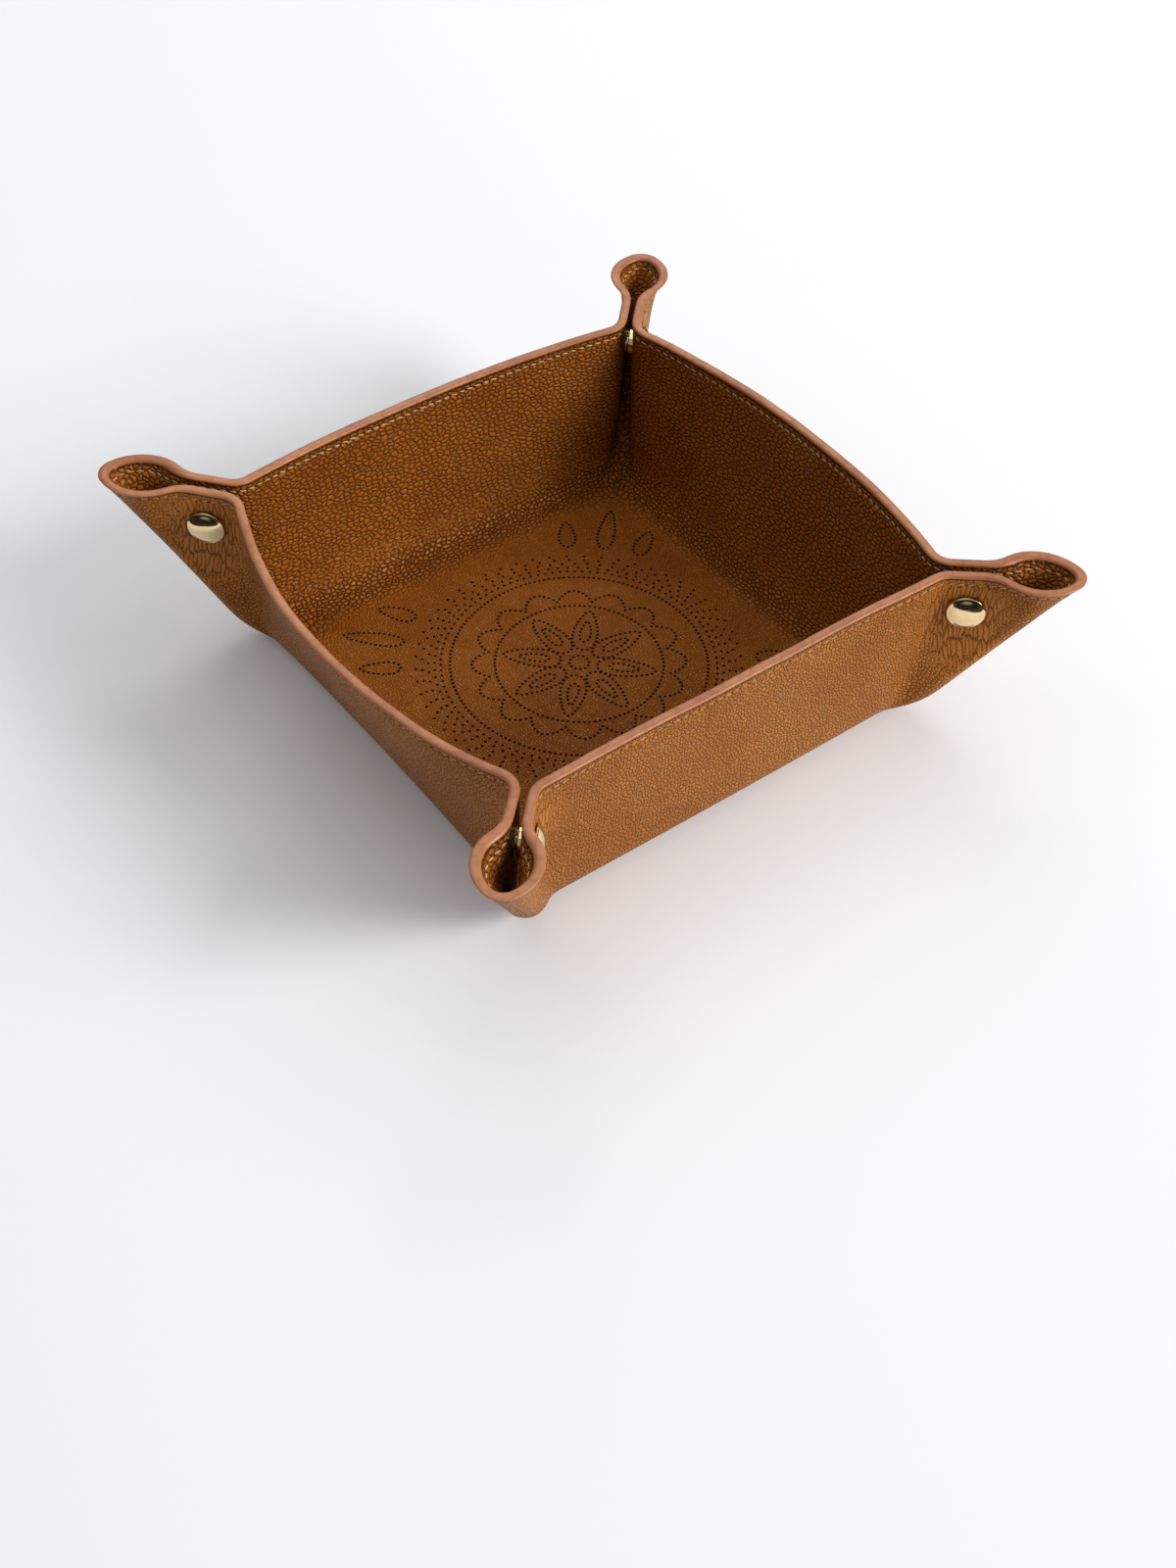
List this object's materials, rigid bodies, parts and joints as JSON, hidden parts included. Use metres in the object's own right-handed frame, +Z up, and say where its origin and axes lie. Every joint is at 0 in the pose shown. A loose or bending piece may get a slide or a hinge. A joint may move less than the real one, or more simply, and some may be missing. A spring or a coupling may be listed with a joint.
{
  "type": "valet tray",
  "caption": "Square soft leather valet tray: a lined hide pulled up into low walls by press studs that pinch its corners into hollow ears.",
  "frame": {"origin": "middle of the underside, on the table", "axes": "+Z up, the four walls square to X and Y, the front wall towards -Y"},
  "size_m": [0.219, 0.219, 0.061],
  "materials": {
    "outer_hide": "fine pebble grain, satin",
    "lining_hide": "pebble grain, satin",
    "brass": "polished",
    "spring_steel": "bright"
  },
  "bodies": {
    "tray": {"outer_leather": "outer_hide", "lining_leather": "lining_hide", "outer_ear_front_left": "outer_hide", "lining_ear_front_left": "lining_hide", "snap_cap_front_left": "brass", "snap_socket_front_left": "brass", "snap_spring_front_left": "spring_steel", "outer_ear_front_right": "outer_hide", "lining_ear_front_right": "lining_hide", "snap_cap_front_right": "brass", "snap_socket_front_right": "brass", "snap_spring_front_right": "spring_steel", "outer_ear_back_right": "outer_hide", "lining_ear_back_right": "lining_hide", "snap_cap_back_right": "brass", "snap_socket_back_right": "brass", "snap_spring_back_right": "spring_steel", "outer_ear_back_left": "outer_hide", "lining_ear_back_left": "lining_hide", "snap_cap_back_left": "brass", "snap_socket_back_left": "brass", "snap_spring_back_left": "spring_steel"},
    "flap_front_left": {"outer_flap_front_left": "outer_hide", "lining_flap_front_left": "lining_hide", "snap_stud_front_left": "brass", "snap_head_front_left": "brass"},
    "flap_front_right": {"outer_flap_front_right": "outer_hide", "lining_flap_front_right": "lining_hide", "snap_stud_front_right": "brass", "snap_head_front_right": "brass"},
    "flap_back_right": {"outer_flap_back_right": "outer_hide", "lining_flap_back_right": "lining_hide", "snap_stud_back_right": "brass", "snap_head_back_right": "brass"},
    "flap_back_left": {"outer_flap_back_left": "outer_hide", "lining_flap_back_left": "lining_hide", "snap_stud_back_left": "brass", "snap_head_back_left": "brass"}
  },
  "joints": [
    {"name": "front_left_ear", "type": "hinge", "parent": "tray", "child": "flap_front_left", "pos_m": [-0.08231, -0.08231, 0.012], "axis": [-0.4149, -0.4149, 0.8098], "range_deg": [0, 24]},
    {"name": "front_right_ear", "type": "hinge", "parent": "tray", "child": "flap_front_right", "pos_m": [0.08231, -0.08231, 0.012], "axis": [-0.4149, 0.4149, -0.8098], "range_deg": [0, 24]},
    {"name": "back_right_ear", "type": "hinge", "parent": "tray", "child": "flap_back_right", "pos_m": [0.08231, 0.08231, 0.012], "axis": [-0.4149, -0.4149, -0.8098], "range_deg": [0, 24]},
    {"name": "back_left_ear", "type": "hinge", "parent": "tray", "child": "flap_back_left", "pos_m": [-0.08231, 0.08231, 0.012], "axis": [-0.4149, 0.4149, 0.8098], "range_deg": [0, 24]}
  ]
}
